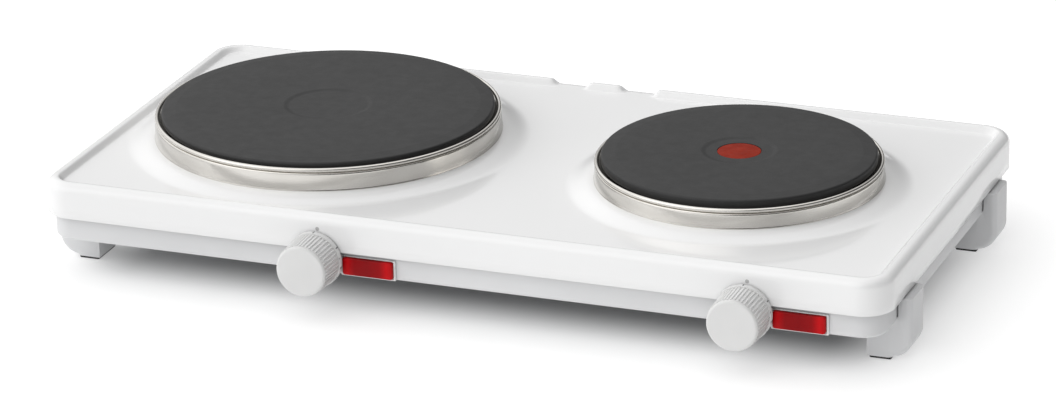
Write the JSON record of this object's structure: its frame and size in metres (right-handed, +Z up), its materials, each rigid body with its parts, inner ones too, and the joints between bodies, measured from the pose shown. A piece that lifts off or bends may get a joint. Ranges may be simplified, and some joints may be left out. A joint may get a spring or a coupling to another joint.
{
  "type": "double hot plate burner",
  "caption": "Free-standing electric double hot plate: white enamelled shell on a grey footed base, cast-iron plates in steel rings, ribbed knobs and red signal lamps.",
  "frame": {"origin": "middle of the object's outline on the surface it stands on", "axes": "+X along the length towards the small plate, -Y towards the knobs at the front, +Z up"},
  "size_m": [0.476, 0.2612, 0.0695],
  "materials": {
    "white_enamel": "gloss",
    "grey_moulding": "satin",
    "black_rubber": "matte",
    "zinc_sheet": "satin",
    "zinc_screws": "satin",
    "brass_parts": "satin",
    "ceramic_white": "satin",
    "marker_red": "matte",
    "black_cast_iron": "satin",
    "stainless_ring": "polished bead, brushed wall",
    "insulating_cement": "matte",
    "heating_wire": "matte",
    "shield_aluminium": "satin",
    "lead_sleeve": "matte",
    "knob_plastic": "satin",
    "lamp_white": "gloss",
    "lens_red": "gloss",
    "neon_glass": "gloss"
  },
  "bodies": {
    "body": {"base_frame": "grey_moulding", "bottom_cover": "zinc_sheet", "bottom_cover_screws": "zinc_screws", "bracket_screws": "zinc_screws", "bush_nuts": "zinc_screws", "clamp_nuts": "zinc_screws", "clamp_washers": "zinc_screws", "cord_bush": "black_rubber", "earth_nut": "brass_parts", "earth_stud": "brass_parts", "enamel_top_shell": "white_enamel", "foot_pads": "black_rubber", "lamp_contact_tabs": "brass_parts", "left_cast_iron_plate": "black_cast_iron", "left_centre_stud": "zinc_screws", "left_clamp_bridge": "zinc_sheet", "left_heat_shield": "shield_aluminium", "left_heating_coils": "heating_wire", "left_insulating_mass": "insulating_cement", "left_lamp_housing": "lamp_white", "left_lamp_lens": "lens_red", "left_neon_tube": "neon_glass", "left_plate_cover": "zinc_sheet", "left_plate_leads": "lead_sleeve", "left_shaft_bush": "brass_parts", "left_spill_ring": "stainless_ring", "left_supply_leads": "lead_sleeve", "left_terminal_block": "ceramic_white", "left_thermostat": "ceramic_white", "left_thermostat_bracket": "zinc_sheet", "mains_terminal_block": "ceramic_white", "mains_terminal_screws": "brass_parts", "plate_terminal_pins": "brass_parts", "rapid_marker_dot": "marker_red", "right_cast_iron_plate": "black_cast_iron", "right_centre_stud": "zinc_screws", "right_clamp_bridge": "zinc_sheet", "right_heat_shield": "shield_aluminium", "right_heating_coils": "heating_wire", "right_insulating_mass": "insulating_cement", "right_lamp_housing": "lamp_white", "right_lamp_lens": "lens_red", "right_neon_tube": "neon_glass", "right_plate_cover": "zinc_sheet", "right_plate_leads": "lead_sleeve", "right_shaft_bush": "brass_parts", "right_spill_ring": "stainless_ring", "right_supply_leads": "lead_sleeve", "right_terminal_block": "ceramic_white", "right_thermostat": "ceramic_white", "right_thermostat_bracket": "zinc_sheet", "shell_nuts": "zinc_screws", "shell_studs": "zinc_screws"},
    "left_knob": {"left_knob": "knob_plastic", "left_shaft": "zinc_screws", "left_knob_spring": "zinc_screws"},
    "right_knob": {"right_knob": "knob_plastic", "right_shaft": "zinc_screws", "right_knob_spring": "zinc_screws"}
  },
  "joints": [
    {"name": "left_knob_turn", "type": "hinge", "parent": "body", "child": "left_knob", "pos_m": [-0.0737, -0.1102, 0.0305], "axis": [0, 1, 0], "range_deg": [0, 270]},
    {"name": "right_knob_turn", "type": "hinge", "parent": "body", "child": "right_knob", "pos_m": [0.1603, -0.1102, 0.0305], "axis": [0, 1, 0], "range_deg": [0, 270]}
  ]
}
